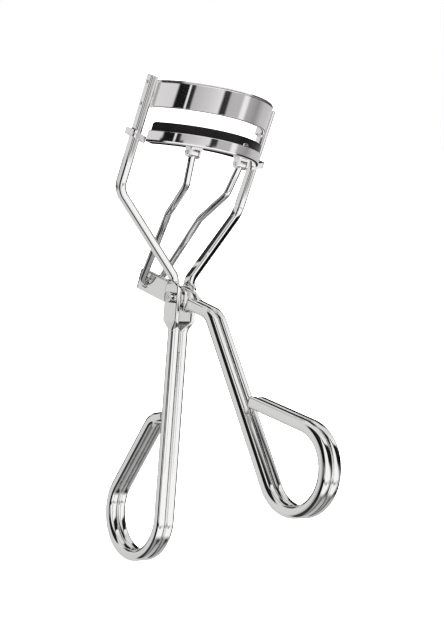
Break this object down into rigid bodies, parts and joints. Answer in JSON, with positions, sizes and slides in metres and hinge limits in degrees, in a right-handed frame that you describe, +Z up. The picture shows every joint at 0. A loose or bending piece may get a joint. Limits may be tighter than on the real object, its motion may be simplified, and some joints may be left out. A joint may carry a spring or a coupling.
{
  "type": "eyelash curler",
  "caption": "Hand-held lash curler: finger-loop handles on a rivet raise a padded curved jaw on guide rails towards a fixed curved clamp.",
  "frame": {"origin": "centre of the bounding box's base, under the lowest finger loop", "axes": "+Z up along the guide rails, +X along the pivot and the jaws' width, -Y the jaws' convex side"},
  "size_m": [0.0348, 0.0708, 0.0996],
  "materials": {
    "chrome_wire": "polished chromium-plated steel wire",
    "chrome_sheet": "polished chromium-plated steel sheet",
    "rivet_steel": "plated steel rivets, pins and washers",
    "solder": "dull plated solder",
    "silicone": "smooth black silicone"
  },
  "bodies": {
    "frame": {"frame_wire_right": "chrome_wire", "frame_wire_left": "chrome_wire", "upper_clamp": "chrome_sheet", "clamp_rivets_right": "rivet_steel", "clamp_rivets_left": "rivet_steel", "pivot_rivet": "rivet_steel", "pivot_washer_right": "rivet_steel", "pivot_washer_left": "rivet_steel", "solder_frame_handle": "solder"},
    "lever": {"lever_wire": "chrome_wire", "solder_lever_handle": "solder"},
    "lower_jaw": {"pad_channel": "chrome_sheet", "silicone_pad": "silicone", "jaw_guide_right": "chrome_sheet", "jaw_guide_left": "chrome_sheet", "push_rod_lug_right": "chrome_sheet", "push_rod_lug_left": "chrome_sheet", "lug_pin_right": "rivet_steel", "lug_pin_left": "rivet_steel"},
    "push_rods": {"push_rod_right": "chrome_wire", "push_rod_left": "chrome_wire"}
  },
  "joints": [
    {"name": "lever_pivot", "type": "hinge", "parent": "frame", "child": "lever", "pos_m": [0, 0.0199, 0.05556], "axis": [1, 0, 0], "range_deg": [-26, 11.5]},
    {"name": "jaw_slide", "type": "slide", "parent": "frame", "child": "lower_jaw", "axis": [0, 0, 1], "range_m": [-0.0055, 0.0025]},
    {"name": "push_rod_swing", "type": "hinge", "parent": "lower_jaw", "child": "push_rods", "pos_m": [0, 0.023, 0.08495], "axis": [1, 0, 0], "range_deg": [-2, 1]}
  ],
  "couplings": [
    {"joint": "jaw_slide", "follows": "lever_pivot", "m_per_rad": 0.01186},
    {"joint": "push_rod_swing", "follows": "lever_pivot", "ratio": 0.072}
  ]
}
